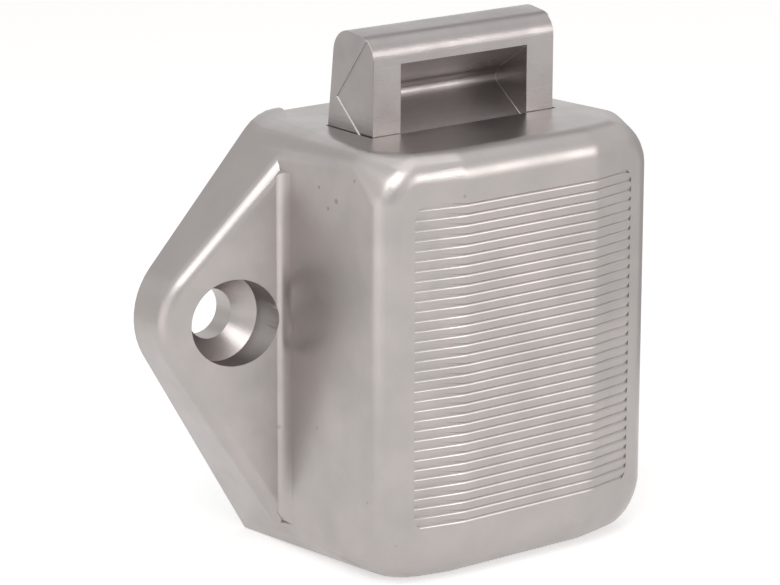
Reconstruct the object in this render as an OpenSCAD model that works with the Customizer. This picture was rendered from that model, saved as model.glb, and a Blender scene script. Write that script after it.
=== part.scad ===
// Cabinet door lock: a push-button rim lock, screwed to the inner face of a door.
// Its knob presses a plunger through the door; a cross pin in the plunger drives the bolt.
// Frame: X across the two fixing holes, Y out of the back towards the door, Z up towards the bolt.
// The origin lies midway between the fixing holes, on the mounting face. The bolt is thrown.

/* [Case] */
// Width of the case across its open back
case_w = 31.5; // [30.8:0.1:32.4]
// Height of the case top above the line of the fixing holes
case_above = 17.2; // [16.9:0.1:20]
// Depth of the case bottom below the line of the fixing holes
case_below = 22.2; // [21.8:0.1:26]
// Depth of the case, from the mounting face to the middle of its front
case_d = 24; // [23.4:0.1:27]
// Thickness of the side, top and bottom walls
wall = 1.8; // [1.4:0.1:2]
// Thickness of the ribbed front wall
front_wall = 2; // [1.4:0.1:2.2]
// Draft of the two side walls, in degrees
side_draft = 0.8; // [0.3:0.1:1.2]
// Radius of the two upper edges along the depth, where the front's corners begin
edge_r = 1.9; // [1.2:0.1:3]
// Radius of the two upper edges at the open back, where the ears' shoulders run into them
edge_back_r = 4.5; // [3:0.1:5]
// Radius between a side wall and the slanting flank below it
flank_r = 3; // [1:0.1:4]
// Radius rolled along the side edges of the front
roll_r = 1.8; // [1.4:0.1:2.4]
// Radius rolled along the upper edge of the front
brow_r = 2.6; // [1.8:0.1:3]
// Radius rolled along the lower front edge
sill_r = 3.5; // [2.4:0.1:3.8]
// Radius of the two upper corners of the front
upper_corner_r = 4.2; // [3.4:0.1:4.8]
// Radius of the two lower corners of the front
lower_corner_r = 4.8; // [4:0.1:5.4]
// Depth over which the body's edges run into the front's wider corners
corner_run = 6; // [5:0.1:8]
// Width of the flat middle facet of the front
facet_w = 15; // [13:0.1:17]
// Angle at which the two outer facets fall back
facet_tilt = 11.6; // [8:0.1:12]

/* [Ribbing] */
// Number of grooves across the front
groove_count = 33; // [20:1:34]
// Spacing of the grooves
groove_pitch = 0.91; // [0.88:0.01:0.95]
// Height of the lowest groove above the case bottom
groove_start = 5.7; // [5:0.1:6.5]
// Width of the ribbed field
groove_field_w = 24.9; // [22:0.1:25.4]
// Corner radius of the ribbed field
groove_field_r = 1.5; // [0.8:0.1:2.5]
// Depth of a groove on the middle facet
groove_depth = 0.1; // [0.08:0.01:0.16]
// Depth of a groove at its two outer ends
groove_end_depth = 0.14; // [0.1:0.01:0.2]
// Height of a groove's upper flank per unit of depth, on the middle facet
groove_rise = 1.2; // [1:0.1:2]
// Height of a groove's upper flank per unit of depth, at its two outer ends
groove_end_rise = 3; // [2:0.1:3.4]
// Height of a groove's lower flank per unit of depth
groove_fall = 1.2; // [1:0.1:1.6]

/* [Ears] */
// Distance between the two fixing holes
hole_spacing = 40; // [38:0.1:44]
// Radius of the rounded ear tip round its hole
ear_tip_r = 6.75; // [6:0.05:7.5]
// Thickness of an ear at the axis of its hole
ear_t = 6.4; // [5.8:0.1:7.4]
// Slope of an ear's face, thicker towards the case, in degrees
ear_slope = 14.3; // [8:0.1:16]
// Radius rolled round the rim of an ear
ear_rim_r = 1.5; // [1:0.1:1.8]
// Half distance between the two crisp lower corners
foot_x = 14.7; // [13.5:0.1:15.2]
// Height of an ear's shoulder above the case top
shoulder_rise = 0.3; // [0.1:0.1:0.6]
// Half distance between the inner ends of the shoulders
shoulder_x = 10.4; // [9.5:0.1:10.8]
// Radius of an ear's shoulder
shoulder_r = 4.5; // [3:0.1:5.5]
// Width, on the ear's face, of the hollow between the ear and the case wall
ear_root_w = 0.5; // [0.3:0.1:1]
// Run of that hollow along the case wall
ear_root_run = 1.7; // [1:0.1:2.2]
// Radius of the fixing hole
hole_r = 2.35; // [2:0.05:2.6]
// Radius of the pocket for the screw head
head_pocket_r = 4.05; // [3.6:0.05:4.6]
// Straight length of the fixing hole from the mounting face
hole_land = 2.3; // [1.8:0.1:2.6]
// Depth, from the mounting face, at which the countersink ends
sink_end = 4; // [3.8:0.1:4.4]

/* [Bolt] */
// Distance between a side of the bolt and the side of the case
bolt_margin = 5.25; // [5:0.05:5.8]
// Distance of the bolt's back face from the mounting face
bolt_back = 7.6; // [7.2:0.1:8.2]
// Thickness of the bolt
bolt_t = 6.6; // [6:0.1:7]
// Height by which the thrown bolt stands out of the case
bolt_throw = 9.1; // [8.6:0.1:9.6]
// Radius of the bolt's rear top edge
bolt_back_r = 2.2; // [1.5:0.1:3]
// Radius of the bolt's front top edge
bolt_front_r = 2; // [1:0.1:2.4]
// Slope of the bolt's top down to its front, in degrees
bolt_top_slope = 7.4; // [3:0.1:9]
// Lean of the bolt's back face above the case, in degrees
bolt_lean = 6.9; // [0:0.1:8]
// Width of the pocket in the bolt's front
pocket_w = 14.5; // [13:0.1:15]
// Height of the pocket's upper edge above the case
pocket_top = 6.3; // [5.6:0.1:6.8]
// Depth of the pocket's valley from the bolt's front
pocket_d = 5.2; // [4:0.1:5.4]
// Height of the valley above the case
valley_z = 2.8; // [2.2:0.1:3.4]
// Depth of the stepped field on each end of the bolt
step_d = 0.12; // [0.08:0.01:0.2]
// Clearance round the bolt in its slot
bolt_gap = 0.15; // [0.1:0.01:0.2]
// Clearance between the plunger's head and the two cheeks that hang from the bolt
cheek_gap = 1.4; // [1:0.1:1.8]

/* [Drive] */
// Travel of the plunger, and of the bolt, which moves as far
travel = 8.5; // [7:0.1:8.5]
// Radius of the plunger's shank
shank_r = 4.5; // [4:0.05:4.8]
// Radius of the plunger's head
head_r = 5.8; // [5.4:0.1:5.9]
// Distance of the plunger's outer end from the mounting face
plunger_set = 0.4; // [0.2:0.1:0.8]
// Radius of the socket for the knob's shank
socket_r = 2.75; // [2.2:0.05:3]
// Depth of that socket
socket_d = 9.8; // [7:0.1:9.8]
// Radius of the cross pin
pin_r = 1.5; // [1.2:0.05:1.6]
// Distance of the cross pin's axis behind the plunger's shoulder
pin_set = 2.4; // [2:0.1:2.6]
// Running clearance of the pin in the cheeks' slots
pin_gap = 0.06; // [0.03:0.01:0.1]
// Running clearance of the shank in its bush
shank_gap = 0.05; // [0.02:0.01:0.1]
// Thickness of the back plate
plate_t = 1.1; // [0.8:0.1:1.2]
// Thickness of the bush's flange
flange_t = 1; // [0.6:0.1:1.1]
// Thickness of the soft ring that stops the plunger
ring_t = 0.8; // [0.5:0.1:0.9]
// Radius of the spring's wire
spring_wire_r = 0.3; // [0.2:0.05:0.35]
// Mean radius of the spring
spring_r = 2.6; // [2.3:0.05:2.7]
// Number of the spring's turns
spring_turns = 5; // [4:1:6]

/* [Latch] */
// Radius of the latch wire
wire_r = 0.6; // [0.5:0.05:0.65]
// Length of the latch wire's arm between its pivot and its tip
arm_l = 13; // [12.5:0.1:13.3]
// Sideways swing of the wire's tip
swing = 1.6; // [1.2:0.1:1.8]
// Depth of the heart-shaped track
track_d = 1.1; // [0.9:0.05:1.3]
// Clearance on each side of the wire in the track
track_gap = 0.15; // [0.1:0.01:0.2]
// Thickness of the leaf spring
leaf_t = 0.25; // [0.2:0.05:0.4]

/* [Hidden] */
$fn = 64;
past = 1;

// Case
case_hw = case_w / 2;
draft_slope = tan(side_draft);
facet_slope = tan(facet_tilt);
facet_x = facet_w / 2;
hole_x = hole_spacing / 2;
corner_start = case_d - corner_run;
front_hw = case_hw - (case_d - roll_r) * draft_slope;
inner_high_r = 2.6;
inner_low_r = 3.2;
floor_z = -(case_below - wall);
roof_z = case_above - wall;
cavity_hw = front_hw - wall;
cavity_d = case_d - front_wall;

// Ear outline: the upper edge touches the ear tip's circle and that of the shoulder
shoulder_c = [shoulder_x + 0.6, case_above + shoulder_rise - shoulder_r];
rise = [hole_x, 0] - shoulder_c;
upper_n = acos((shoulder_r - ear_tip_r) / norm(rise)) + atan2(rise.y, rise.x);
// The lower edge runs as a tangent from the ear tip to the crisp lower corner
foot = [foot_x, -case_below];
flank_a = atan2(case_below, hole_x - foot_x) - asin(ear_tip_r / norm([hole_x - foot_x, case_below]));
lower_n = flank_a - 90;
ear_slope_t = tan(ear_slope);
rim_start_x = shoulder_c.x + 0.9 * (shoulder_r - ear_rim_r) * cos(upper_n);

// Ribbing
groove_z0 = -case_below + groove_start;
field_low = groove_z0 - groove_pitch / 2;
field_high = groove_z0 + (groove_count - 0.5) * groove_pitch;
groove_out = 0.1;

// Plunger, behind the bush and its ring
plate_set = 0.2;
plate_back = plate_set + plate_t;
flange_back = plate_back + flange_t;
ring_back = flange_back + ring_t;
rest_gap = 0.05;
shoulder = ring_back + travel + rest_gap;
pin_depth = shoulder + pin_set;
bush_r = shank_r + 1.1;
flange_r = bush_r + 1.2;
seat_t = 0.8;
seat_front = cavity_d - seat_t;
head_end = cavity_d - 1.6;
spring_wall = 1;
spring_bore_end = pin_depth + pin_r + spring_wall;
spring_gap = 0.15;
spring_bore_r = spring_r + spring_wire_r + spring_gap;
seat_r = spring_bore_r + 1.1;
seat_gap = 0.1;
seat_pin_r = spring_r - spring_wire_r - 0.4;
seat_pin_h = 1;

// Bolt
bolt_w = case_w - 2 * bolt_margin;
bolt_hw = bolt_w / 2;
bolt_front = bolt_back + bolt_t;
bolt_peak = case_above + bolt_throw;
cheek_in = head_r + cheek_gap;
cheek_top = roof_z - 0.4;
cheek_low = -(head_r + 4.6);
cheek_near = plate_back + 0.4;
cheek_far = bolt_front + 2.5;
block_z = head_r + travel + 0.3;
bar_z = -(head_r + 0.3);
bar_near = ring_back + 0.9;
slot_r = pin_r + pin_gap;
pocket_x = pocket_w / 2;
valley = [-(bolt_front - pocket_d), case_above + valley_z];
pocket_sill_z = case_above - 0.9;

// Latch: the wire turns about its pivot in the case, its tip runs in the track
latch_y = -(pin_depth - 0.2);
pivot_z = -8;
notch = [latch_y, pivot_z + arm_l];
swing_a = asin(swing / arm_l);
track_top = [latch_y + swing, pivot_z + arm_l * cos(swing_a) + travel];
track_r = wire_r + track_gap;
track_floor = bolt_hw - track_d;
arm_x = bolt_hw + wire_r + 0.2;
bend_r = 1;
tip_x = track_floor + 0.2;
pivot_boss_x = arm_x + wire_r + 0.3;
leaf_x = arm_x + wire_r + 0.05;
leaf_screw_z = pivot_z + arm_l + 2.8;
leaf_low = -2.5;
leaf_w = 2.8;

// Fasteners, guides and pad
screw_r = 0.7;
screw_head_r = 1.3;
boss_r = screw_r + 0.53;
boss_x = bolt_hw + boss_r + 0.12;
boss_high = roof_z - 2.8;
boss_low = floor_z + 2.5;
boss_end = 9;
guide_gap = 0.1;
guide_t = 1.2;
guide_near = 3;
guide_far = 8;
guide_low = -9;
guide_high = 9.5;
rib_t = 1.5;
rib_bite = 0.6;
rib_zs = [-6.5, 6.5];
rail_in = cheek_in + 0.3;
rail_out = bolt_hw - 0.5;
pad_t = 1.2;
pad_hw = bolt_hw - 6.5;
pad_near = bolt_back - 0.6;
pad_far = bolt_front - 1.2;

// Unit vector along v
function unit(v) = v / norm(v);

// Points of the arc of radius r that rounds corner b between a and c
function blend(a, b, c, r, n = 8) =
    let (u = unit(a - b), w = unit(c - b), half = acos(u * w) / 2)
    let (o = b + unit(u + w) * r / sin(half), s = b + u * r / tan(half), e = b + w * r / tan(half))
    let (a0 = atan2(s.y - o.y, s.x - o.x), a1 = atan2(e.y - o.y, e.x - o.x))
    let (turn = (a1 - a0 + 540) % 360 - 180)
    [for (i = [0:n]) o + r * [cos(a0 + turn * i / n), sin(a0 + turn * i / n)]];

// Points mirrored to the other side, in reverse order
function mirrored(points) = [for (i = [len(points) - 1:-1:0]) [-points[i].x, points[i].y]];

// Right half of the case outline at a given half width and upper radius, drawn from the foot up
function case_side(hw, r) =
    let (f = [foot.x - (case_hw - hw), foot.y], knee = [hw, f.y + (hw - f.x) * tan(flank_a)])
    concat([f], blend(f, knee, [hw, 0], flank_r, 6),
           blend([hw, 0], [hw, case_above], [0, case_above], r, 8));

// Outline of a box with its own radii at the top and the bottom
function box_points(hw, low, high, r_high, r_low) =
    let (side = concat(blend([0, low], [hw, low], [hw, 0], r_low),
                       blend([hw, 0], [hw, high], [0, high], r_high)))
    concat(side, mirrored(side));

// Depth of the front face at a given distance from its middle
function face_depth(x) = case_d - facet_slope * max(0, abs(x) - facet_x);

// Three corners of a groove's section, which deepens and widens over the outer facets
function groove_section(x, z) =
    let (share = max(0, abs(x) - facet_x) / (groove_field_w / 2 - facet_x))
    let (g = groove_depth + (groove_end_depth - groove_depth) * share)
    let (rise = groove_rise + (groove_end_rise - groove_rise) * share)
    let (d = face_depth(x), reach = g + groove_out)
    [[x, -(d + groove_out), z + rise * reach], [x, -(d - g), z],
     [x, -(d + groove_out), z - groove_fall * reach]];

// Depth of an ear's face at a given distance from the middle
function ear_depth(x) = ear_t + ear_slope_t * (hole_x - x);

// Draws a flat shape facing back at the given depth and extends it towards the front
module at_depth(d, h) {
    translate([0, -d, 0]) rotate([90, 0, 0]) linear_extrude(h) children();
}

// Draws a flat shape of points [y, z] at the given x and extends it to the right
module at_x(x, w) {
    translate([x, 0, 0]) rotate([90, 0, 90]) linear_extrude(w) children();
}

// A round bar along the depth
module bar_y(x, z, near, far, r, r_far = -1) {
    translate([x, -near, z]) rotate([90, 0, 0])
        cylinder(h = far - near, r1 = r, r2 = r_far < 0 ? r : r_far);
}

// A round bar across, from x0 to x1
module bar_x(x0, x1, y, z, r) {
    translate([x0, y, z]) rotate([0, 90, 0]) cylinder(h = x1 - x0, r = r);
}

// A box between two corners, with its depths counted from the mounting face
module block(x0, x1, near, far, z0, z1) {
    translate([x0, -far, z0]) cube([x1 - x0, far - near, z1 - z0]);
}

// Repeats its children on both sides
module both_sides() {
    children();
    mirror([1, 0, 0]) children();
}

// Points of one rolled corner of the front, on the right
function front_corner(r, cz, a, roll_end) =
    [for (i = [0:8], j = [0:8])
        let (t = a * i / 8, roll = roll_r + (roll_end - roll_r) * i / 8, p = 90 * j / 8)
        let (reach = r - roll * (1 - cos(p)), x = front_hw - r + reach * cos(t))
        [x, -(face_depth(x) - roll * (1 - sin(p))), cz + reach * sin(t)]];

// Side view of the middle of the front, as points [y, z] along its two rolled edges
function front_profile() =
    [for (s = [[case_above, -1, brow_r], [-case_below, 1, sill_r]], j = [0:8])
        let (p = s[1] < 0 ? 90 * j / 8 : 90 - 90 * j / 8)
        [-(case_d - s[2] * (1 - sin(p))), s[0] + s[1] * s[2] * (1 - cos(p))]];

// Closed solid between a net of nine by nine points and one point inside the case
module corner_solid(net) {
    rim = concat([for (i = [0:8]) i], [for (i = [1:8]) 9 * i + 8], [for (i = [1:8]) 80 - i],
                 [for (i = [1:7]) 72 - 9 * i]);
    skin = [for (i = [0:7], j = [0:7]) let (k = 9 * i + j)
        each [[k, k + 9, k + 10], [k, k + 10, k + 1]]];
    sides = [for (i = [0:len(rim) - 1]) [rim[i], rim[(i + 1) % len(rim)], 81]];
    polyhedron(concat(net, [[facet_x, -corner_start, (net[0].z + net[80].z) / 2]]),
               concat(skin, sides), convexity = 4);
}

// Solid outside form of the case without its ears
module case_form() {
    side_back = case_side(case_hw, edge_back_r);
    side_front = case_side(case_hw - corner_start * draft_slope, edge_r);
    hull() {
        at_depth(0, 0.5) polygon(concat(side_back, mirrored(side_back)));
        at_depth(corner_start - 0.1, 0.1) polygon(concat(side_front, mirrored(side_front)));
        both_sides() {
            corner_solid(front_corner(upper_corner_r, case_above - upper_corner_r, 90, brow_r));
            corner_solid(front_corner(lower_corner_r, -case_below + lower_corner_r, -90, sill_r));
        }
        at_x(-facet_x, facet_w) polygon(front_profile());
    }
}

// Outline of one ear, from its shoulder above round the tip to the foot
function ear_points(inset) =
    let (tip = ear_tip_r - inset, top = shoulder_r - inset)
    concat([[shoulder_x, case_above + shoulder_rise - inset]],
           [for (i = [0:4]) let (a = 90 + (upper_n - 90) * i / 4)
               shoulder_c + top * [cos(a), sin(a)]],
           [for (i = [0:10]) let (a = upper_n + (lower_n - upper_n) * i / 10)
               [hole_x + tip * cos(a), tip * sin(a)]],
           [[foot.x - inset * 0.6, foot.y + inset * 1.2]]);

// One ear with its rolled rim; its shoulder slopes down into the case top
module ear() {
    hull() {
        at_depth(0, 0.5) polygon(ear_points(0));
        for (p = ear_points(ear_rim_r))
            if (p.x > rim_start_x)
                translate([p.x, -(ear_depth(p.x) - ear_rim_r / cos(ear_slope)), p.y])
                    sphere(ear_rim_r, $fn = 24);
    }
}

// Section of the hollow between an ear and the case wall, as points [x, y]
function root_section() =
    let (wall_x = case_hw - (ear_depth(case_hw) + ear_root_run) * draft_slope)
    let (corner = [wall_x, -ear_depth(wall_x)])
    concat([[wall_x - past, corner.y + past], [wall_x - past, corner.y - ear_root_run]],
           [for (i = [0:8]) let (a = 90 * i / 8, out = ear_root_w * (1 - cos(a)))
               corner + [out, ear_slope_t * out - ear_root_run * (1 - sin(a))]],
           [[wall_x + ear_root_w / 2, corner.y + past]]);

// The hollow itself, kept within the ear's outline
module ear_root() {
    intersection() {
        translate([0, 0, floor_z]) linear_extrude(case_above - floor_z) polygon(root_section());
        at_depth(1, 12) polygon(ear_points(ear_rim_r * 0.4));
    }
}

// Fixing hole with its countersink and head pocket
module fixing_hole() {
    bar_y(hole_x, 0, -past, hole_land + past, hole_r);
    bar_y(hole_x, 0, hole_land, sink_end, hole_r, head_pocket_r);
    bar_y(hole_x, 0, sink_end, case_d, head_pocket_r);
}

// One groove across the three facets of the front
module groove(z) {
    end = groove_field_w / 2 + 0.2;
    points = [for (x = [-end, -facet_x, facet_x, end]) each groove_section(x, z)];
    sides = [for (s = [0:2], i = [0:2]) let (a = 3 * s + i, b = 3 * s + (i + 1) % 3)
        [a, b, b + 3, a + 3]];
    polyhedron(points, concat([[2, 1, 0]], sides, [[9, 10, 11]]), convexity = 2);
}

// All grooves, cut off along the rounded field
module grooves() {
    intersection() {
        union() for (i = [0:groove_count - 1]) groove(groove_z0 + i * groove_pitch);
        at_depth(case_d - 4, 6)
            polygon(box_points(groove_field_w / 2, field_low, field_high, groove_field_r, groove_field_r));
    }
}

// Hollow of the case, with its front wall parallel to the three facets
module cavity() {
    inner_x = facet_x - front_wall * (1 / cos(facet_tilt) - 1) / facet_slope;
    edge_d = face_depth(cavity_hw) - front_wall / cos(facet_tilt);
    side = [[cavity_hw, past], [cavity_hw, -edge_d], [inner_x, -cavity_d]];
    intersection() {
        translate([0, 0, floor_z]) linear_extrude(roof_z - floor_z)
            polygon(concat(side, mirrored(side)));
        at_depth(-past, case_d)
            polygon(box_points(cavity_hw, floor_z, roof_z, inner_high_r, inner_low_r));
    }
}

// Everything that stands up inside the hollow
module case_inside() {
    both_sides() {
        for (z = [boss_high, boss_low])
            difference() {
                union() {
                    bar_y(boss_x, z, plate_back, boss_end, boss_r);
                    block(boss_x, cavity_hw + past / 2, plate_back, boss_end, z - boss_r, z + boss_r);
                }
                bar_y(boss_x, z, 0, boss_end - 0.5, screw_r + 0.05, $fn = 24);
            }
        for (z = rib_zs)
            block(bolt_hw + guide_gap + guide_t - rib_bite, cavity_hw + past / 2,
                  guide_near + 0.4, guide_far - 0.4, z, z + rib_t);
        block(rail_in, rail_out, cheek_far + 0.2, cavity_d + past / 4, floor_z + 2, cheek_top - 1);
    }
    difference() {
        bar_x(pivot_boss_x, cavity_hw + past / 2, latch_y, pivot_z, 1.9, $fn = 40);
        bar_x(pivot_boss_x - past, cavity_hw + 2 * past, latch_y, pivot_z, wire_r + 0.05, $fn = 32);
    }
    difference() {
        bar_x(leaf_x + leaf_t, cavity_hw + past / 2, latch_y, leaf_screw_z, 1.7, $fn = 40);
        bar_x(leaf_x, cavity_hw + 2 * past, latch_y, leaf_screw_z, 0.75, $fn = 24);
    }
    difference() {
        bar_y(0, 0, seat_front - 0.2, cavity_d + past / 4, seat_r + 1);
        bar_y(0, 0, 0, cavity_d + past, seat_r + seat_gap);
    }
}

// Die-cast case
module case() {
    color("silver") difference() {
        union() {
            difference() {
                union() {
                    case_form();
                    both_sides() ear();
                    both_sides() ear_root();
                }
                cavity();
                grooves();
                both_sides() fixing_hole();
                block(-bolt_hw - bolt_gap, bolt_hw + bolt_gap, bolt_back - bolt_gap,
                      bolt_front + bolt_gap, roof_z - past, case_above + past);
            }
            intersection() {
                case_inside();
                case_form();
            }
        }
        bar_x(cavity_hw, cavity_hw + 0.5, latch_y, pivot_z, wire_r + 0.05, $fn = 32);
    }
}

// Back plate that closes the case
module back_plate() {
    slack = 0.12;
    color("lightgray") difference() {
        at_depth(plate_set, plate_t)
            polygon(box_points(cavity_hw - slack, floor_z + slack, roof_z - slack, inner_high_r, inner_low_r));
        bar_y(0, 0, plate_set - past, plate_back + past, bush_r + 0.05);
        for (x = [-boss_x, boss_x], z = [boss_high, boss_low]) {
            bar_y(x, z, plate_set - past, plate_back + past, screw_r + 0.15, $fn = 32);
            bar_y(x, z, plate_set - 0.01, plate_set + 0.91, screw_head_r + 0.1, screw_r + 0.1, $fn = 32);
        }
    }
}

// One countersunk plate screw with a cross recess
module plate_screw() {
    difference() {
        union() {
            bar_y(0, 0, plate_set, plate_set + 0.9, screw_head_r, screw_r, $fn = 32);
            bar_y(0, 0, plate_set + 0.89, boss_end - 1.5, screw_r, $fn = 32);
        }
        block(-0.8, 0.8, 0, plate_set + 0.5, -0.15, 0.15);
        block(-0.15, 0.15, 0, plate_set + 0.5, -0.8, 0.8);
    }
}

// Four plate screws
module plate_screws() {
    color("gray") for (x = [-boss_x, boss_x], z = [boss_high, boss_low])
        translate([x, 0, z]) plate_screw();
}

// Flanged bush in the back plate
module guide_bush() {
    color("white") difference() {
        union() {
            bar_y(0, 0, 0.05, flange_back, bush_r);
            bar_y(0, 0, plate_back, flange_back, flange_r);
        }
        bar_y(0, 0, -past, flange_back + past, shank_r + shank_gap);
    }
}

// Soft ring in front of the flange
module stop_ring() {
    color("dimgray") difference() {
        bar_y(0, 0, flange_back, ring_back, flange_r - 0.4);
        bar_y(0, 0, 0, ring_back + past, shank_r + 0.25);
    }
}

// Plunger, pressed in
module plunger() {
    color("silver") difference() {
        union() {
            bar_y(0, 0, plunger_set, shoulder + 0.2, shank_r);
            bar_y(0, 0, shoulder, head_end, head_r);
        }
        bar_y(0, 0, 0, plunger_set + socket_d, socket_r);
        bar_y(0, 0, plunger_set - 0.01, plunger_set + 0.5, socket_r + 0.5, socket_r);
        bar_y(0, 0, spring_bore_end, head_end + past, spring_bore_r);
        bar_x(-head_r - past, head_r + past, -pin_depth, 0, pin_r, $fn = 48);
    }
}

// Cross pin
module drive_pin() {
    end = bolt_hw - 0.3;
    color("gray") difference() {
        bar_x(-end, end, -pin_depth, 0, pin_r, $fn = 48);
        for (s = [-1, 1]) translate([s * end, -pin_depth, 0]) rotate([0, s * 90, 0])
            difference() {
                translate([0, 0, -0.3]) cylinder(h = 0.4, r = pin_r + past);
                translate([0, 0, -0.31]) cylinder(h = 0.42, r1 = pin_r, r2 = pin_r - 0.42);
            }
    }
}

// Compression spring, compressed, as a run of short round bars
module plunger_spring() {
    steps = 20;
    count = spring_turns * steps;
    near = spring_bore_end + spring_wire_r + 0.02;
    far = seat_front - spring_wire_r - 0.02;
    path = [for (i = [0:count]) let (a = 360 * i / steps)
        [spring_r * cos(a), -(near + (far - near) * i / count), spring_r * sin(a)]];
    color("silver") for (i = [0:count - 1]) let (v = path[i + 1] - path[i])
        translate(path[i] - v * 0.06) rotate([0, acos(v.z / norm(v)), atan2(v.y, v.x)])
            cylinder(h = norm(v) * 1.12, r = spring_wire_r, $fn = 10);
}

// Cup that locates the spring on the front wall
module spring_seat() {
    color("ivory") union() {
        bar_y(0, 0, seat_front, cavity_d, seat_r);
        bar_y(0, 0, seat_front - seat_pin_h, seat_front + 0.2, seat_pin_r, $fn = 40);
    }
}

// Straight channels through a list of points [y, z]
module trace(points, r) {
    for (p = points) translate(p) circle(r, $fn = 32);
    for (i = [0:len(points) - 2]) let (v = points[i + 1] - points[i])
        translate(points[i]) rotate(atan2(v.y, v.x)) translate([0, -r]) square([norm(v), 2 * r]);
}

// Side view of the bolt's head, as points [y, z]
function head_points() =
    let (top_z = bolt_peak + 0.1, drop = tan(bolt_top_slope), lean = tan(bolt_lean))
    let (b = [-(bolt_back + lean * bolt_throw), top_z + 0.2], f = [-bolt_front, top_z - drop * 4])
    concat([[-bolt_back, block_z], [-bolt_front, block_z], [-bolt_front, case_above]],
           blend([-bolt_front, case_above], f, b, bolt_front_r, 8),
           blend(f, b, [-bolt_back, case_above], bolt_back_r, 10),
           [[-bolt_back, case_above]]);

// Finger pocket in the front of the bolt, as points [y, z]
function pocket_points() =
    let (lip = [-bolt_front, case_above + pocket_top], sill = [-(bolt_front + 0.01), pocket_sill_z])
    [valley, lip + (lip - valley) * 0.3, [-(bolt_front + 4), pocket_sill_z - 1],
     sill + (sill - valley) * 0.1];

// Shallow field on each end of the bolt, as points [y, z]
function step_points() =
    let (apex = [-(bolt_back + 1.35), case_above + valley_z + 0.1])
    [apex, apex + [-4.9, 6.36], [-(bolt_front + 2), bolt_peak + 1], [-(bolt_front + 2), roof_z - 1],
     apex + [-5.5, -4.93]];

// Bolt with the cheeks that the cross pin drives
module bolt() {
    slot = [[-pin_depth, 0], [-pin_depth + travel, travel]];
    lobe = [[notch.x - 0.8, notch.y - 0.6], [notch.x - 1.4, notch.y + 1.2], [notch.x - 1.4, notch.y + 4.4]];
    side_lobe = [[notch.x + 0.6, notch.y - 0.5], notch + (track_top - notch) * 0.25];
    color("silver") difference() {
        union() {
            at_x(-bolt_hw, bolt_w) polygon(head_points());
            both_sides() block(cheek_in, bolt_hw, cheek_near, cheek_far, cheek_low, cheek_top);
            block(-cheek_in - past, cheek_in + past, bar_near, cheek_far, cheek_low, bar_z);
        }
        at_x(-pocket_x, pocket_w) polygon(pocket_points());
        both_sides() at_x(bolt_hw - step_d, past) intersection() {
            polygon(step_points());
            translate([-bolt_front - past, roof_z - 0.2]) square([bolt_t + past, 20]);
        }
        at_x(-bolt_hw - past, bolt_w + 2 * past) trace(slot, slot_r);
        at_x(track_floor, track_d + past) {
            trace([notch, track_top], track_r);
            trace(concat([notch], lobe, [track_top]), track_r);
            trace(concat([notch], side_lobe), track_r);
        }
    }
}

// One acetal strip on the ribs of the case wall
module guide_strip() {
    x0 = bolt_hw + guide_gap;
    color("ivory") difference() {
        block(x0, x0 + guide_t, guide_near, guide_far, guide_low, guide_high);
        for (z = rib_zs)
            block(x0 + guide_t - rib_bite - 0.05, x0 + guide_t + past, guide_near + 0.35,
                  guide_far - 0.35, z - 0.05, z + rib_t + 0.05);
    }
}

// Strip on the left wall
module guide_left() {
    mirror([1, 0, 0]) guide_strip();
}

// Strip on the right wall
module guide_right() {
    guide_strip();
}

// A quarter bend of the latch wire
module wire_bend() {
    rotate_extrude(angle = 90, $fn = 48) translate([bend_r, 0]) circle(wire_r, $fn = 24);
}

// Latch wire, its tip in the notch of the track
module latch_wire() {
    color("silver") translate([0, latch_y, 0]) {
        bar_x(arm_x + bend_r, cavity_hw + 0.4, 0, pivot_z, wire_r, $fn = 24);
        translate([arm_x + bend_r, 0, pivot_z + bend_r]) rotate([90, 180, 0]) wire_bend();
        translate([arm_x, 0, pivot_z + bend_r])
            cylinder(h = notch.y - pivot_z - 2 * bend_r, r = wire_r, $fn = 24);
        translate([arm_x - bend_r, 0, notch.y - bend_r]) rotate([90, 0, 0]) wire_bend();
        bar_x(tip_x, arm_x - bend_r, 0, notch.y, wire_r, $fn = 24);
    }
}

// Leaf spring on the latch wire
module latch_leaf() {
    color("lightgray") difference() {
        block(leaf_x, leaf_x + leaf_t, -latch_y - leaf_w / 2, -latch_y + leaf_w / 2, leaf_low,
              leaf_screw_z + 1.6);
        bar_x(leaf_x - past, leaf_x + past, latch_y, leaf_screw_z, 0.9, $fn = 32);
    }
}

// Screw of the leaf spring
module leaf_screw() {
    color("gray") difference() {
        union() {
            bar_x(leaf_x - 0.65, leaf_x, latch_y, leaf_screw_z, 1.3, $fn = 32);
            bar_x(leaf_x - 0.1, cavity_hw, latch_y, leaf_screw_z, 0.7, $fn = 24);
        }
        translate([leaf_x - 0.75, latch_y - 0.15, leaf_screw_z - 0.9]) cube([0.4, 0.3, 1.8]);
    }
}

// Rubber pad under the bolt
module stop_pad() {
    color("dimgray") block(-pad_hw, pad_hw, pad_near, pad_far, floor_z, floor_z + pad_t);
}

case();
back_plate();
plate_screws();
guide_bush();
stop_ring();
plunger();
drive_pin();
plunger_spring();
spring_seat();
bolt();
guide_left();
guide_right();
latch_wire();
latch_leaf();
leaf_screw();
stop_pad();
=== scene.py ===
"""Cabinet door lock: the finishes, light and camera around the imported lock.

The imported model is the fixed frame. Each of its nodes is carried over as a merged and
smoothed copy, whose edges are broken where the real piece shows it, and gets a finish of
its own. Lengths in the dataclasses are millimetres, heights of a finish are micrometres,
and meshes are metres.
"""

from __future__ import annotations

import logging
import math
from dataclasses import dataclass, field
from enum import Enum
from typing import Callable

import bmesh
import bpy
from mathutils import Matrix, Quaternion, Vector

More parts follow.
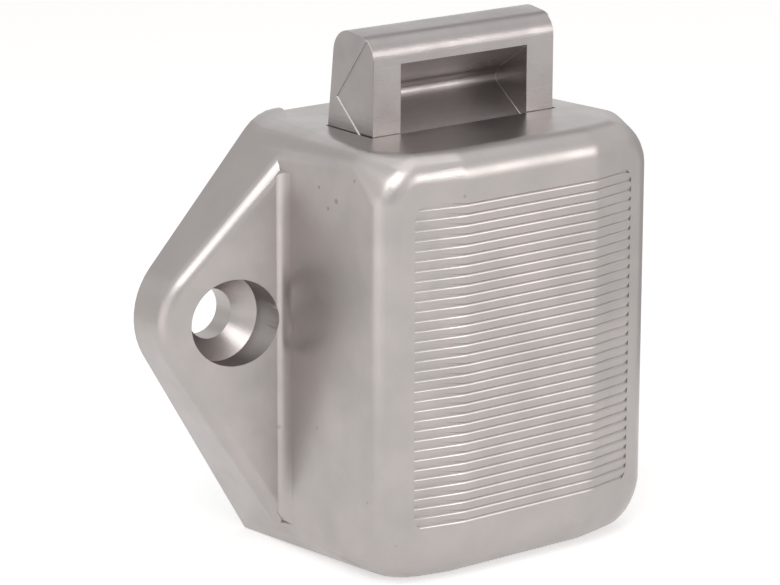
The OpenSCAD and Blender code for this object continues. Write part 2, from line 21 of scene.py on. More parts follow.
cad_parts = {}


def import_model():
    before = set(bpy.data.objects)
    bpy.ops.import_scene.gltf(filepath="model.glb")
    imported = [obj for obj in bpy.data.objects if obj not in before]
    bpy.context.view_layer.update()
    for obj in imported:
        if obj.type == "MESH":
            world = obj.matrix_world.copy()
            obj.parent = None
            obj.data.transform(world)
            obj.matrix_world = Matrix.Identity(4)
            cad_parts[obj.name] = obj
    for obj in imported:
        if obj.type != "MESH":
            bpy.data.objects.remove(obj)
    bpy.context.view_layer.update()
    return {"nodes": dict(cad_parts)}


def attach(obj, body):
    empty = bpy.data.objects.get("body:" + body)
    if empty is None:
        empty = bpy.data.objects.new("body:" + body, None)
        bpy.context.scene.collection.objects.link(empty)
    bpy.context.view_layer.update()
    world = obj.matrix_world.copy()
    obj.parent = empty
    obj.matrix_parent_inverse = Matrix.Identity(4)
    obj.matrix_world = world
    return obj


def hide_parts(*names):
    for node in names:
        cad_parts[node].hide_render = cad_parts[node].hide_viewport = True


MM = 0.001
MICRON = 0.001 * MM
LOG = logging.getLogger("door_lock")

Point = tuple[float, float, float]
Socket = bpy.types.NodeSocket
EdgeTest = Callable[[bmesh.types.BMEdge], bool]


class Body(Enum):
    """The moving groups of the lock."""

    CASE = "lock_case"
    PLUNGER = "plunger_set"
    BOLT = "bolt_slide_body"
    WIRE = "wire"


class Slot(Enum):
    """The material slots of the record."""

    CASE_PLATING = "case_plating"
    BOLT_PLATING = "bolt_plating"
    ZINC_PLATE = "zinc_plate"
    SCREW_STEEL = "screw_steel"
    WHITE_ACETAL = "white_acetal"
    PLUNGER_BRASS = "plunger_brass"
    PIN_STEEL = "pin_steel"
    SPRING_STEEL = "spring_steel"
    BLACK_RUBBER = "black_rubber"


def linear(hex_colour: str) -> tuple[float, float, float, float]:
    """Turns an sRGB hex colour to linear RGBA.

    Args:
        hex_colour: six hex digits, such as "C8BEB8".

    Returns:
        Linear red, green, blue and an alpha of one.
    """
    parts = [int(hex_colour[i : i + 2], 16) / 255 for i in (0, 2, 4)]
    red, green, blue = (p / 12.92 if p <= 0.04045 else ((p + 0.055) / 1.055) ** 2.4 for p in parts)
    return red, green, blue, 1.0


def add_node(
    tree: bpy.types.NodeTree,
    kind: str,
    settings: dict[str, object] | None = None,
    inputs: dict[str | int, object] | None = None,
) -> bpy.types.Node:
    """Adds one node with its settings and links.

    Args:
        tree: the node tree to add to.
        kind: Blender's name of the node type.
        settings: attributes to set on the node.
        inputs: values or output sockets for the node's inputs.

    Returns:
        The new node.
    """
    node = tree.nodes.new(kind)
    for name, value in (settings or {}).items():
        setattr(node, name, value)
    for name, value in (inputs or {}).items():
        if isinstance(value, Socket):
            tree.links.new(value, node.inputs[name])
        else:
            node.inputs[name].default_value = value
    return node


@dataclass(frozen=True)
class Mark:
    """A small dull speck that handling left on a plated face."""

    at: Point
    radius: float
    shade: float = 0.4


@dataclass(frozen=True)
class PlatedMetal:
    """Nickel plate on die-cast zinc.

    Plate follows the casting below it, so its gloss is broken by a fine grain and by a slow
    waviness. Clouds in the plate change its colour and gloss a little, and handling leaves
    scratches and dull specks on it.
    """

    name: str
    colour: str
    deep_colour: str
    roughness: float
    roughness_spread: float
    grain: float
    grain_height: float
    wave: float
    wave_height: float
    scratch_height: float
    marks: tuple[Mark, ...] = ()
    mark_colour: str = "5A504A"
    mark_core: float = 0.35
    mark_roughness: float = 0.25
    cloud: float = 4.5
    cloud_colours: tuple[float, float] = (0.35, 0.68)
    cloud_gloss: tuple[float, float] = (0.3, 0.7)
    scratch: float = 3.0
    scratch_turn: Point = (0.3, 0.9, 0.2)
    scratch_squeeze: Point = (1.0, 1.0, 16.0)
    grain_detail: float = 3.0
    wave_detail: float = 1.5
    scratch_detail: float = 2.0
    cloud_detail: float = 4.0

    def _height(self, tree: bpy.types.NodeTree, place: Socket) -> Socket | float:
        """Adds up the grain, the waviness and the scratches.

        Args:
            tree: the material's node tree.
            place: the point on the piece.

        Returns:
            The height of the surface in micrometres.
        """
        along = add_node(
            tree,
            "ShaderNodeMapping",
            {},
            {"Vector": place, "Rotation": self.scratch_turn, "Scale": self.scratch_squeeze},
        ).outputs["Vector"]
        layers = (
            (place, self.grain, self.grain_detail, self.grain_height),
            (place, self.wave, self.wave_detail, self.wave_height),
            (along, self.scratch, self.scratch_detail, self.scratch_height),
        )
        total: Socket | float = 0.0
        for where, size, detail, height in layers:
            noise = add_node(
                tree, "ShaderNodeTexNoise", {}, {"Vector": where, "Scale": 1 / (size * MM), "Detail": detail}
            ).outputs["Fac"]
            total = add_node(
                tree, "ShaderNodeMath", {"operation": "MULTIPLY_ADD"}, {0: noise, 1: height, 2: total}
            ).outputs[0]
        return total

    def _mark_mask(self, tree: bpy.types.NodeTree, place: Socket) -> Socket | None:
        """Joins the soft round masks of the marks.

        Args:
            tree: the material's node tree.
            place: the point on the piece.

        Returns:
            The share of a mark at the point, or nothing if there are no marks.
        """
        total: Socket | None = None
        for mark in self.marks:
            centre = tuple(c * MM for c in mark.at)
            away = add_node(
                tree, "ShaderNodeVectorMath", {"operation": "DISTANCE"}, {0: place, 1: centre}
            ).outputs["Value"]
            spot = add_node(
                tree,
                "ShaderNodeMapRange",
                {"interpolation_type": "SMOOTHSTEP"},
                {
                    "Value": away,
                    "From Min": mark.radius * MM * self.mark_core,
                    "From Max": mark.radius * MM,
                    "To Min": mark.shade,
                    "To Max": 0.0,
                },
            ).outputs["Result"]
            if total is None:
                total = spot
            else:
                total = add_node(
                    tree, "ShaderNodeMath", {"operation": "MAXIMUM"}, {0: total, 1: spot}
                ).outputs[0]
        return total

    def build(self) -> bpy.types.Material:
        """Makes the material.

        Returns:
            The plated metal.
        """
        material = bpy.data.materials.new(self.name)
        material.use_nodes = True
        tree = material.node_tree
        shader = tree.nodes["Principled BSDF"]
        place = add_node(tree, "ShaderNodeTexCoord").outputs["Object"]
        cloud = add_node(
            tree,
            "ShaderNodeTexNoise",
            {},
            {"Vector": place, "Scale": 1 / (self.cloud * MM), "Detail": self.cloud_detail},
        ).outputs["Fac"]
        depth = add_node(
            tree,
            "ShaderNodeMapRange",
            {},
            {"Value": cloud, "From Min": self.cloud_colours[0], "From Max": self.cloud_colours[1]},
        ).outputs["Result"]
        colour = add_node(
            tree,
            "ShaderNodeMix",
            {"data_type": "RGBA"},
            {"Factor": depth, 6: linear(self.colour), 7: linear(self.deep_colour)},
        ).outputs[2]
        rough = add_node(
            tree,
            "ShaderNodeMapRange",
            {},
            {
                "Value": cloud,
                "From Min": self.cloud_gloss[0],
                "From Max": self.cloud_gloss[1],
                "To Min": self.roughness - self.roughness_spread,
                "To Max": self.roughness + self.roughness_spread,
            },
        ).outputs["Result"]
        mask = self._mark_mask(tree, place)
        if mask is not None:
            colour = add_node(
                tree,
                "ShaderNodeMix",
                {"data_type": "RGBA"},
                {"Factor": mask, 6: colour, 7: linear(self.mark_colour)},
            ).outputs[2]
            rough = add_node(
                tree,
                "ShaderNodeMath",
                {"operation": "MULTIPLY_ADD"},
                {0: mask, 1: self.mark_roughness, 2: rough},
            ).outputs[0]
        bump = add_node(
            tree, "ShaderNodeBump", {}, {"Height": self._height(tree, place), "Distance": MICRON}
        ).outputs["Normal"]
        shader.inputs["Metallic"].default_value = 1.0
        tree.links.new(colour, shader.inputs["Base Color"])
        tree.links.new(rough, shader.inputs["Roughness"])
        tree.links.new(bump, shader.inputs["Normal"])
        return material


@dataclass(frozen=True)
class PlainFinish:
    """A finish of one of the pieces inside or behind: a colour, its gloss and a fine grain."""

    name: str
    colour: str
    deep_colour: str
    metallic: float
    roughness: float
    grain: float
    grain_height: float
    squeeze: Point = (1.0, 1.0, 1.0)
    roughness_spread: float = 0.08
    grain_detail: float = 3.0

    def build(self) -> bpy.types.Material:
        """Makes the material.

        Returns:
            The finish.
        """
        material = bpy.data.materials.new(self.name)
        material.use_nodes = True
        tree = material.node_tree
        shader = tree.nodes["Principled BSDF"]
        place = add_node(tree, "ShaderNodeTexCoord").outputs["Object"]
        along = add_node(tree, "ShaderNodeMapping", {}, {"Vector": place, "Scale": self.squeeze}).outputs[0]
        grain = add_node(
            tree,
            "ShaderNodeTexNoise",
            {},
            {"Vector": along, "Scale": 1 / (self.grain * MM), "Detail": self.grain_detail},
        ).outputs["Fac"]
        colour = add_node(
            tree,
            "ShaderNodeMix",
            {"data_type": "RGBA"},
            {"Factor": grain, 6: linear(self.colour), 7: linear(self.deep_colour)},
        ).outputs[2]
        rough = add_node(
            tree,
            "ShaderNodeMapRange",
            {},
            {
                "Value": grain,
                "To Min": self.roughness - self.roughness_spread,
                "To Max": self.roughness + self.roughness_spread,
            },
        ).outputs["Result"]
        height = add_node(
            tree, "ShaderNodeMath", {"operation": "MULTIPLY"}, {0: grain, 1: self.grain_height}
        ).outputs[0]
        bump = add_node(tree, "ShaderNodeBump", {}, {"Height": height, "Distance": MICRON}).outputs["Normal"]
        shader.inputs["Metallic"].default_value = self.metallic
        tree.links.new(colour, shader.inputs["Base Color"])
        tree.links.new(rough, shader.inputs["Roughness"])
        tree.links.new(bump, shader.inputs["Normal"])
        return material


# Satin nickel plate on the die-cast zinc case: a soft warm grey sheen with dull specks from handling.
SATIN_NICKEL = PlatedMetal(
    name="satin_nickel_plate",
    colour="B1ABA9",
    deep_colour="A9A4A2",
    roughness=0.32,
    roughness_spread=0.04,
    grain=0.22,
    grain_height=9.0,
    wave=5.0,
    wave_height=8.0,
    scratch_height=0.0,
    marks=(
        Mark((-15.53, -15.6, 12.44), 0.34),
        Mark((-15.55, -14.43, 11.57), 0.24),
        Mark((-15.57, -13.11, 13.24), 0.22),
        Mark((-15.5, -18.2, 14.75), 0.22),
        Mark((-15.44, -22.48, 8.65), 0.2, 0.25),
        Mark((-15.57, -12.7, -9.13), 0.2, 0.25),
        Mark((-15.47, -20.08, -14.33), 0.2, 0.25),
        Mark((-19.42, -6.55, 13.18), 0.22, 0.25),
        Mark((-18.01, -6.91, 14.89), 0.2, 0.25),
        Mark((-15.98, -7.43, -10.27), 0.3, 0.25),
        Mark((-7.72, -23.95, 13.37), 0.22, 0.3),
        Mark((-14.15, -22.63, -17.97), 0.22, 0.25),
    ),
)
# Semi-bright nickel plate on the die-cast zinc bolt: a shade darker than the case, rubbed by the strike.
SEMI_BRIGHT_NICKEL = PlatedMetal(
    name="semi_bright_nickel_plate",
    colour="A8A3A2",
    deep_colour="9D9796",
    roughness=0.32,
    roughness_spread=0.06,
    grain=0.26,
    grain_height=18.0,
    wave=3.0,
    wave_height=10.0,
    scratch_height=9.0,
)
# Zinc-plated sheet steel: bluish grey with a faint rolling grain.
ZINC_SHEET = PlainFinish("zinc_plated_sheet", "B4B9BD", "9FA5AB", 1.0, 0.36, 0.8, 14.0, (1.0, 1.0, 5.0))
# Zinc-plated steel screws: a little darker than the sheet.
ZINC_SCREW = PlainFinish("zinc_plated_screw", "A9ADB1", "8E9398", 1.0, 0.32, 0.4, 10.0)
# Injection-moulded acetal: waxy off-white with a fine spark-eroded grain.
ACETAL = PlainFinish("moulded_acetal", "E3E0D6", "DAD6CA", 0.0, 0.42, 0.3, 12.0)
# Turned brass of the plunger: yellow metal with turning lines round its axis.
TURNED_BRASS = PlainFinish("turned_brass", "C9A866", "B8944F", 1.0, 0.28, 0.25, 12.0, (1.0, 4.0, 1.0))
# Ground steel of the cross pin: bright, with fine grinding lines round it.
GROUND_STEEL = PlainFinish("ground_steel", "A8A8AA", "98989B", 1.0, 0.22, 0.2, 6.0, (6.0, 1.0, 1.0))
# Bright drawn spring steel: a darker grey with a smooth gloss.
SPRING_WIRE = PlainFinish("drawn_spring_steel", "83868B", "6E7176", 1.0, 0.3, 0.3, 8.0)
# Moulded black rubber: matt, with a soft grain.
BLACK_RUBBER = PlainFinish("black_rubber", "171717", "202020", 0.0, 0.75, 0.4, 18.0)


def only(obj: bpy.types.Object) -> None:
    """Deselects everything, and selects and activates one object.

    Args:
        obj: the object to work on next.
    """
    bpy.ops.object.select_all(action="DESELECT")
    obj.select_set(True)
    bpy.context.view_layer.objects.active = obj


def select_edges(piece: bpy.types.Object, test: EdgeTest) -> int:
    """Selects the edges that pass a test, in edit mode.

    Args:
        piece: the active object, in edit mode.
        test: says whether an edge is wanted.

    Returns:
        The number of edges selected.
    """
    bpy.ops.mesh.select_mode(type="EDGE")
    bpy.ops.mesh.select_all(action="DESELECT")
    mesh = bmesh.from_edit_mesh(piece.data)
    count = 0
    for edge in mesh.edges:
        if len(edge.link_faces) == 2 and test(edge):
            edge.select = True
            count += 1
    bmesh.update_edit_mesh(piece.data)
    return count


def turn(edge: bmesh.types.BMEdge) -> float:
    """Returns the angle, in degrees, between the two faces at an edge, positive where it stands out."""
    return math.degrees(edge.calc_face_angle_signed(0.0))


def middle(edge: bmesh.types.BMEdge) -> Vector:
    """Returns the middle of an edge in millimetres."""
    return (edge.verts[0].co + edge.verts[1].co) / 2 / MM


@dataclass
class CarriedPiece:
    """A CAD node carried over as a merged, smoothed copy in its own finish.

    Angles are degrees: edges flatter than smooth_angle are smoothed, and edges that stand
    out by more than sharp_from are broken by edge_break.
    """

    node: str
    body: Body
    slot: Slot
    material: bpy.types.Material
    smooth_angle: float = 28.0
    edge_break: float = 0.0
    sharp_from: float = 50.0
    merge_within: float = 0.002
    flat_within: float = 0.25
    flat_lead: int = 100
    break_segments: int = 2

    def copy(self, source: bpy.types.Object) -> bpy.types.Object:
        """Copies the node's mesh, merges its loose triangles and joins those that are flat.

        Args:
            source: the CAD node's object.

        Returns:
            The new object, not yet riding on a body.
        """
        mesh = source.data.copy()
        mesh.name = f"{self.node}_mesh"
        mesh.materials.clear()
        mesh.materials.append(self.material)
        piece = bpy.data.objects.new(f"{self.node}_dressed", mesh)
        bpy.context.scene.collection.objects.link(piece)
        only(piece)
        bpy.ops.mesh.customdata_custom_splitnormals_clear()
        bpy.ops.object.mode_set(mode="EDIT")
        bpy.ops.mesh.select_all(action="SELECT")
        bpy.ops.mesh.remove_doubles(threshold=self.merge_within * MM)
        bpy.ops.mesh.dissolve_limited(angle_limit=math.radians(self.flat_within))
        bpy.ops.object.mode_set(mode="OBJECT")
        return piece

    def shape(self, piece: bpy.types.Object) -> None:
        """Breaks the piece's sharp edges, in edit mode.

        Args:
            piece: the active object, in edit mode.
        """
        if self.edge_break and select_edges(piece, lambda edge: turn(edge) > self.sharp_from):
            bpy.ops.mesh.bevel(
                offset=self.edge_break * MM, segments=self.break_segments, clamp_overlap=True
            )

    def build(self, nodes: dict[str, bpy.types.Object]) -> bpy.types.Object:
        """Makes the piece and puts it in the node's place.

        Args:
            nodes: the CAD nodes by name.

        Returns:
            The finished piece.
        """
        piece = self.copy(nodes[self.node])
        only(piece)
        bpy.ops.object.mode_set(mode="EDIT")
        self.shape(piece)
        bpy.ops.object.mode_set(mode="OBJECT")
        only(piece)
        bpy.ops.object.shade_smooth_by_angle(angle=math.radians(self.smooth_angle))
        weighted = piece.modifiers.new("flat_faces_lead", "WEIGHTED_NORMAL")
        weighted.keep_sharp = True
        weighted.weight = self.flat_lead
        bpy.ops.object.modifier_apply(modifier=weighted.name)
        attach(piece, self.body.value)
        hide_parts(self.node)
        LOG.info("%s: %d faces", piece.name, len(piece.data.polygons))
        return piece


@dataclass
class CaseShell(CarriedPiece):
    """The die-cast case: its creases are eased, its grooves dressed and its rims broken.

    A pair of numbers is the lowest and highest value of a stretch. A turn is the angle, in
    degrees, from which an edge counts as one to dress.
    """

    # Creases between the facets, and how near a point lies to count as on one
    crease_x: float = 7.5
    crease_width: float = 0.4
    crease_set: float = 0.02
    crease_near: float = 0.01
    front_from: float = -19.0
    faces_front: float = -0.3
    # Field of grooves, and the flattened edge of their lips
    groove_half_w: float = 12.5
    groove_front: float = -21.0
    groove_span: tuple[float, float] = (-17.3, 13.8)
    groove_turn: float = 9.0
    groove_rise: float = 0.25
    faces_up: float = 0.3
    lip_roll: float = 0.06
    # Corners of the front, and the outer skin that is evened out there
    corner_from_x: float = 11.3
    corner_depth: tuple[float, float] = (-22.0, -10.4)
    corner_split: tuple[float, float] = (-17.2, 12.6)
    corner_blend: tuple[float, float] = (-17.7, 14.0)
    skin_x: float = 13.6
    skin_front: float = -22.2
    skin_span: tuple[float, float] = (-21.2, 16.3)
    melt_cuts: int = 2
    melt_share: float = 0.5
    melt_rounds: int = 6
    # Rims of the bolt's slot, the two holes and the mounting face
    rim_break: float = 0.14
    rim_turn: float = 35.0
    slot_half_w: float = 12.0
    slot_above: float = 17.0
    slot_front_of: float = -3.0
    hole_x: float = 20.0
    hole_reach: float = 4.9
    hole_front_of: float = -3.5
    back_from: float = -0.3

    def _ease_crease(self, piece: bpy.types.Object, side: int) -> None:
        """Rounds one crease between two facets of the front.

        Args:
            piece: the case, in edit mode.
            side: minus one for the left crease, one for the right.
        """
        for x in (self.crease_x - self.crease_width, self.crease_x + self.crease_width):
            bpy.ops.mesh.select_all(action="SELECT")
            bpy.ops.mesh.bisect(plane_co=(side * x * MM, 0, 0), plane_no=(1, 0, 0))
        mesh = bmesh.from_edit_mesh(piece.data)
        for vert in mesh.verts:
            on_crease = abs(vert.co.x - side * self.crease_x * MM) < self.crease_near * MM
            in_front = vert.co.y < self.front_from * MM and vert.normal.y < self.faces_front
            if on_crease and in_front:
                vert.co.y += self.crease_set * MM
        bmesh.update_edit_mesh(piece.data)

    def _in_groove(self, edge: bmesh.types.BMEdge) -> bool:
        """Says whether an edge runs along a groove of the front.

        Args:
            edge: the edge to test.

        Returns:
            True for the lips and the floor of a groove.
        """
        at = middle(edge)
        run = (edge.verts[0].co - edge.verts[1].co).normalized()
        foot, top = self.groove_span
        in_field = abs(at.x) < self.groove_half_w and at.y < self.groove_front and foot < at.z < top
        return in_field and abs(run.z) < self.groove_rise and abs(turn(edge)) > self.groove_turn

    def _lower_lip(self, edge: bmesh.types.BMEdge) -> bool:
        """Says whether an edge is the lower lip of a groove, which catches the light.

        Args:
            edge: the edge to test.

        Returns:
            True for a lower lip.
        """
        up = max(face.normal.z for face in edge.link_faces)
        return self._in_groove(edge) and turn(edge) > self.groove_turn and up > self.faces_up

    def _dress_grooves(self, piece: bpy.types.Object) -> None:
        """Keeps the grooves crisp and takes the edge off their lower lips.

        Args:
            piece: the case, in edit mode.
        """
        select_edges(piece, self._in_groove)
        bpy.ops.mesh.mark_sharp()
        lips = select_edges(piece, self._lower_lip)
        LOG.info("case: %d groove lips dressed", lips)
        bpy.ops.mesh.bevel(offset=self.lip_roll * MM, segments=1, clamp_overlap=False)
        bpy.ops.mesh.select_mode(type="FACE")
        bpy.ops.mesh.region_to_loop()
        bpy.ops.mesh.mark_sharp()

    def _at_corner(self, at: Vector, band: tuple[float, float]) -> bool:
        """Says whether a point lies on the outer skin round a corner of the front.

        Args:
            at: the point in millimetres.
            band: the lowest and highest z between the upper and the lower corners.

        Returns:
            True for a point at one of the four corners.
        """
        beside = abs(at.x) > self.skin_x or at.y < self.skin_front
        outside = beside or not self.skin_span[0] <= at.z <= self.skin_span[1]
        deep_enough = self.corner_depth[0] < at.y < self.corner_depth[1]
        return outside and deep_enough and abs(at.x) > self.corner_from_x and not band[0] < at.z < band[1]

    def _melt_corners(self, piece: bpy.types.Object) -> None:
        """Evens out the flat patches round the corners of the front.

        Args:
            piece: the case, in edit mode.
        """
        bpy.ops.mesh.select_mode(type="FACE")
        bpy.ops.mesh.select_all(action="DESELECT")
        for face in bmesh.from_edit_mesh(piece.data).faces:
            if self._at_corner(face.calc_center_median() / MM, self.corner_split):
                face.select = True
        bmesh.update_edit_mesh(piece.data)
        bpy.ops.mesh.quads_convert_to_tris()
        bpy.ops.mesh.subdivide(number_cuts=self.melt_cuts)
        bpy.ops.mesh.select_mode(type="VERT")
        bpy.ops.mesh.select_all(action="DESELECT")
        for vert in bmesh.from_edit_mesh(piece.data).verts:
            if self._at_corner(vert.co / MM, self.corner_blend):
                vert.select = True
        bmesh.update_edit_mesh(piece.data)
        bpy.ops.mesh.vertices_smooth(factor=self.melt_share, repeat=self.melt_rounds)

    def _outer_rim(self, edge: bmesh.types.BMEdge) -> bool:
        """Says whether an edge is a crisp outside rim of the slot, a hole or the mounting face.

        Args:
            edge: the edge to test.

        Returns:
            True for a rim that is broken.
        """
        at = middle(edge)
        at_slot = at.z > self.slot_above and abs(at.x) < self.slot_half_w and at.y < self.slot_front_of
        from_hole = math.hypot(abs(at.x) - self.hole_x, at.z)
        at_hole = from_hole < self.hole_reach and at.y < self.hole_front_of
        return turn(edge) > self.rim_turn and (at_slot or at_hole or at.y > self.back_from)

    def shape(self, piece: bpy.types.Object) -> None:
        """Eases the creases, dresses the grooves and corners and breaks the rims, in edit mode.

        Args:
            piece: the case, in edit mode.
        """
        for side in (-1, 1):
            self._ease_crease(piece, side)
        self._dress_grooves(piece)
        self._melt_corners(piece)
        count = select_edges(piece, self._outer_rim)
        bpy.ops.mesh.bevel(offset=self.rim_break * MM, segments=self.break_segments, clamp_overlap=True)
        LOG.info("case: %d rim edges broken", count)


@dataclass
class BoltBlock(CarriedPiece):
    """The bolt: its pocket has a rounded valley, and the edges of its head are broken.

    The valley is the y and z of the line where the pocket's two slopes meet.
    """

    head_from: float = 15.5
    rim_break: float = 0.2
    rim_turn: float = 40.0
    rim_segments: int = 3
    valley: tuple[float, float] = (-9.0, 20.0)
    valley_radius: float = 1.4
    valley_segments: int = 5
    valley_near: float = 0.3
    valley_run: float = 5.0

    def _in_valley(self, edge: bmesh.types.BMEdge) -> bool:
        """Says whether an edge is the bottom of the pocket.

        Args:
            edge: the edge to test.

        Returns:
            True for the line where the slopes meet.
        """
        at = middle(edge)
        away = math.hypot(at.y - self.valley[0], at.z - self.valley[1])
        run = abs(edge.verts[0].co.x - edge.verts[1].co.x)
        return away < self.valley_near and run > self.valley_run * MM

    def _head_rim(self, edge: bmesh.types.BMEdge) -> bool:
        """Says whether an edge of the head is sharp."""
        return abs(turn(edge)) > self.rim_turn and middle(edge).z > self.head_from

    def shape(self, piece: bpy.types.Object) -> None:
        """Rounds the valley and breaks the edges of the head, in edit mode.

        Args:
            piece: the bolt, in edit mode.
        """
        found = select_edges(piece, self._in_valley)
        bpy.ops.mesh.bevel(
            offset=self.valley_radius * MM, segments=self.valley_segments, clamp_overlap=False
        )
        select_edges(piece, self._head_rim)
        bpy.ops.mesh.bevel(offset=self.rim_break * MM, segments=self.rim_segments, clamp_overlap=True)
        LOG.info("bolt: %d valley edges rounded", found)


@dataclass
class DoorLock:
    """The whole lock, in its frame."""

    nodes: dict[str, bpy.types.Object]
    pieces: list[bpy.types.Object] = field(default_factory=list)

    def parts(self) -> list[CarriedPiece]:
        """Lists the lock's pieces.

        Returns:
            Each piece with its body, slot and finish.
        """
        satin, bright = SATIN_NICKEL.build(), SEMI_BRIGHT_NICKEL.build()
        sheet, screw, acetal = ZINC_SHEET.build(), ZINC_SCREW.build(), ACETAL.build()
        brass, ground = TURNED_BRASS.build(), GROUND_STEEL.build()
        spring, rubber = SPRING_WIRE.build(), BLACK_RUBBER.build()
        return [
            CaseShell("case", Body.CASE, Slot.CASE_PLATING, satin),
            BoltBlock("bolt", Body.BOLT, Slot.BOLT_PLATING, bright),
            CarriedPiece("back_plate", Body.CASE, Slot.ZINC_PLATE, sheet, edge_break=0.08),
            CarriedPiece("plate_screws", Body.CASE, Slot.SCREW_STEEL, screw),
            CarriedPiece("guide_bush", Body.CASE, Slot.WHITE_ACETAL, acetal, edge_break=0.06),
            CarriedPiece("stop_ring", Body.CASE, Slot.BLACK_RUBBER, rubber),
            CarriedPiece("plunger", Body.PLUNGER, Slot.PLUNGER_BRASS, brass, edge_break=0.08),
            CarriedPiece("drive_pin", Body.PLUNGER, Slot.PIN_STEEL, ground),
            CarriedPiece("plunger_spring", Body.CASE, Slot.SPRING_STEEL, spring, smooth_angle=50.0),
            CarriedPiece("spring_seat", Body.CASE, Slot.WHITE_ACETAL, acetal),
            CarriedPiece("guide_left", Body.CASE, Slot.WHITE_ACETAL, acetal),
            CarriedPiece("guide_right", Body.CASE, Slot.WHITE_ACETAL, acetal),
            CarriedPiece("latch_wire", Body.WIRE, Slot.SPRING_STEEL, spring),
            CarriedPiece("latch_leaf", Body.CASE, Slot.SPRING_STEEL, spring),
            CarriedPiece("leaf_screw", Body.CASE, Slot.SCREW_STEEL, screw),
            CarriedPiece("stop_pad", Body.CASE, Slot.BLACK_RUBBER, rubber),
        ]

    def build(self) -> None:
        """Builds every piece in order."""
        for part in self.parts():
            self.pieces.append(part.build(self.nodes))


def background_rays(tree: bpy.types.NodeTree) -> Socket:
    """Picks out the rays that show the white background.

    Args:
        tree: the node tree of the table or the world.

    Returns:
        One for camera, glossy and transmission rays, and zero for the rest.
    """
    path = add_node(tree, "ShaderNodeLightPath").outputs
    found = path["Is Camera Ray"]
    for name in ("Is Glossy Ray", "Is Transmission Ray"):
        found = add_node(
            tree, "ShaderNodeMath", {"operation": "MAXIMUM"}, {0: found, 1: path[name]}
        ).outputs[0]
    return found


@dataclass(frozen=True)
class Card:
    """A round paper card with a soft edge, lighter or darker than the room.

    It faces the lock, and shows only in the gloss of the metal, where core is the share of
    its radius at which it starts to fade.
    """

    name: str
    at: Point
    radius: float
    tone: float
    core: float = 0.35
    colour: str = "FFFDFB"
    sides: int = 48

    def build(self) -> None:
        """Stands the card beside the lock."""
        bpy.ops.object.select_all(action="DESELECT")
        bpy.ops.mesh.primitive_circle_add(radius=self.radius * MM, vertices=self.sides, fill_type="NGON")
        disc = bpy.context.active_object
        disc.name = self.name
        disc.location = Vector(self.at) * MM
        disc.rotation_mode = "QUATERNION"
        disc.rotation_quaternion = Vector(self.at).to_track_quat("-Z", "Y")
        for ray in ("camera", "diffuse", "transmission", "volume_scatter", "shadow"):
            setattr(disc, f"visible_{ray}", False)
        disc.data.materials.append(self._paper())

    def _paper(self) -> bpy.types.Material:
        """Makes the card's paper.

        Returns:
            A plain tone that fades to nothing at the rim.
        """
        material = bpy.data.materials.new(f"{self.name}_paper")
        material.use_nodes = True
        tree = material.node_tree
        tree.nodes.clear()
        place = add_node(tree, "ShaderNodeTexCoord").outputs["Object"]
        away = add_node(tree, "ShaderNodeVectorMath", {"operation": "LENGTH"}, {0: place}).outputs["Value"]
        cover = add_node(
            tree,
            "ShaderNodeMapRange",
            {"interpolation_type": "SMOOTHSTEP"},
            {
                "Value": away,
                "From Min": self.radius * self.core * MM,
                "From Max": self.radius * MM,
                "To Min": 1.0,
                "To Max": 0.0,
            },
        ).outputs["Result"]
        clear = add_node(tree, "ShaderNodeBsdfTransparent").outputs[0]
        tone = add_node(
            tree, "ShaderNodeEmission", {}, {"Color": linear(self.colour), "Strength": self.tone}
        ).outputs[0]
        faded = add_node(tree, "ShaderNodeMixShader", {}, {0: cover, 1: clear, 2: tone}).outputs[0]
        add_node(tree, "ShaderNodeOutputMaterial", {}, {"Surface": faded})
        return material


@dataclass(frozen=True)
class Lamp:
    """A square soft lamp."""

    name: str
    at: Point
    aim: Point
    size: float
    watts: float

    def build(self) -> None:
        """Hangs the lamp and turns it to its aim."""
        data = bpy.data.lights.new(self.name, "AREA")
        data.shape = "SQUARE"
        data.size = self.size * MM
        data.energy = self.watts
        lamp = bpy.data.objects.new(self.name, data)
        lamp.location = Vector(self.at) * MM
        lamp.rotation_mode = "QUATERNION"
        lamp.rotation_quaternion = (Vector(self.aim) - Vector(self.at)).to_track_quat("-Z", "Y")
        bpy.context.scene.collection.objects.link(lamp)


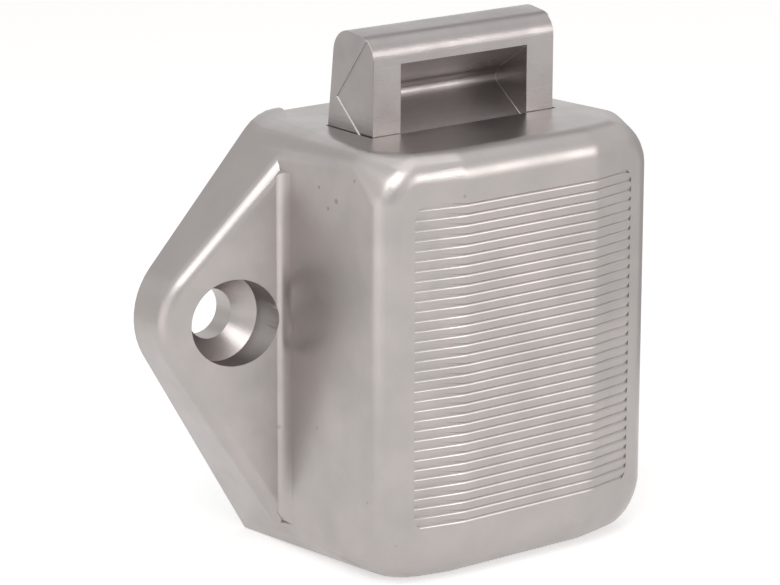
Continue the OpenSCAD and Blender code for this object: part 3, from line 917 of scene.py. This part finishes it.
@dataclass
class Studio:
    """The white table, the soft lights and the camera at the photograph's place.

    The camera looks at the target from an azimuth, an elevation and a distance.
    """

    azimuth: float = -37.5234
    elevation: float = 15.2370
    roll: float = 0.1262
    distance: float = 332.94
    target: Point = (-4.471, -9.019, 0.893)
    lens: float = 167.1
    sensor: float = 36.0
    sight: tuple[float, float] = (10.0, 20000.0)
    table_z: float = -22.2
    table_size: float = 3000.0
    table_colour: str = "F4F4F4"
    table_glow: float = 0.5
    room_colour: str = "FFFDFB"
    room_light: float = 0.45
    cards: tuple[Card, ...] = (
        Card("right_flag", (66, 2, -6), 64, 0.62),
        Card("right_front_flag", (390, -225, 92), 110, 0.7),
        Card("back_left_floor_flag", (-85, 80, -6), 60, 0.9),
        Card("back_left_flag", (-90, 400, 260), 200, 0.75),
        Card("zenith_flag", (270, 170, 330), 130, 0.42),
        Card("camera_flag", (-260, -335, 110), 80, 0.45),
        Card("front_box", (275, -345, 118), 120, 3.0, 0.5),
        Card("front_left_box", (110, -410, 155), 125, 4.2, 0.5),
        Card("left_box", (-330, -90, 270), 130, 3.2),
        Card("left_floor_box", (-105, -8, -10), 70, 1.7, 0.1),
    )
    lamps: tuple[Lamp, ...] = (
        Lamp("overhead_soft_box", (60, -60, 420), (60, -60, 0), 360, 0.28),
        Lamp("left_soft_box", (-150, -150, 190), (-75, -85, -22), 160, 0.2),
    )

    def camera(self) -> None:
        """Makes the camera."""
        turned, raised = math.radians(self.azimuth), math.radians(self.elevation)
        flat = math.cos(raised)
        back = Vector((math.sin(turned) * flat, -math.cos(turned) * flat, math.sin(raised)))
        data = bpy.data.cameras.new("studio_camera")
        data.lens = self.lens
        data.sensor_width = self.sensor
        data.clip_start, data.clip_end = (reach * MM for reach in self.sight)
        camera = bpy.data.objects.new("studio_camera", data)
        camera.location = (Vector(self.target) + back * self.distance) * MM
        camera.rotation_mode = "QUATERNION"
        rolled = Quaternion((0, 0, 1), math.radians(self.roll))
        camera.rotation_quaternion = (-back).to_track_quat("-Z", "Y") @ rolled
        bpy.context.scene.collection.objects.link(camera)
        bpy.context.scene.camera = camera

    def table(self) -> None:
        """Makes the white table that the lock stands on."""
        bpy.ops.object.select_all(action="DESELECT")
        bpy.ops.mesh.primitive_plane_add(size=self.table_size * MM, location=(0, 0, self.table_z * MM))
        table = bpy.context.active_object
        table.name = "white_table"
        material = bpy.data.materials.new("white_paper")
        material.use_nodes = True
        tree = material.node_tree
        tree.nodes.clear()
        paper = add_node(tree, "ShaderNodeBsdfDiffuse", {}, {"Color": linear(self.table_colour)}).outputs[0]
        glow = add_node(
            tree, "ShaderNodeEmission", {}, {"Color": linear("FFFFFF"), "Strength": self.table_glow}
        ).outputs[0]
        both = add_node(tree, "ShaderNodeAddShader", {}, {0: paper, 1: glow}).outputs[0]
        shown = add_node(
            tree, "ShaderNodeMixShader", {}, {0: background_rays(tree), 1: paper, 2: both}
        ).outputs[0]
        add_node(tree, "ShaderNodeOutputMaterial", {}, {"Surface": shown})
        table.data.materials.append(material)

    def room(self) -> None:
        """Makes the white room."""
        world = bpy.data.worlds.new("white_room")
        bpy.context.scene.world = world
        world.use_nodes = True
        tree = world.node_tree
        tree.nodes.clear()
        light = add_node(
            tree, "ShaderNodeBackground", {}, {"Color": linear(self.room_colour), "Strength": self.room_light}
        ).outputs[0]
        white = add_node(
            tree, "ShaderNodeBackground", {}, {"Color": linear("FFFFFF"), "Strength": 1.0}
        ).outputs[0]
        mixed = add_node(
            tree, "ShaderNodeMixShader", {}, {0: background_rays(tree), 1: light, 2: white}
        ).outputs[0]
        add_node(tree, "ShaderNodeOutputWorld", {}, {"Surface": mixed})

    def build(self) -> None:
        """Sets the whole studio up."""
        bpy.context.scene.view_settings.view_transform = "Standard"
        self.camera()
        self.table()
        self.room()
        for fitting in (*self.cards, *self.lamps):
            fitting.build()


def main() -> None:
    """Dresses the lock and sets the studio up."""
    logging.basicConfig(level=logging.INFO, format="%(name)s: %(message)s")
    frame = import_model()
    DoorLock(frame["nodes"]).build()
    Studio().build()


if __name__ == "__main__":
    main()
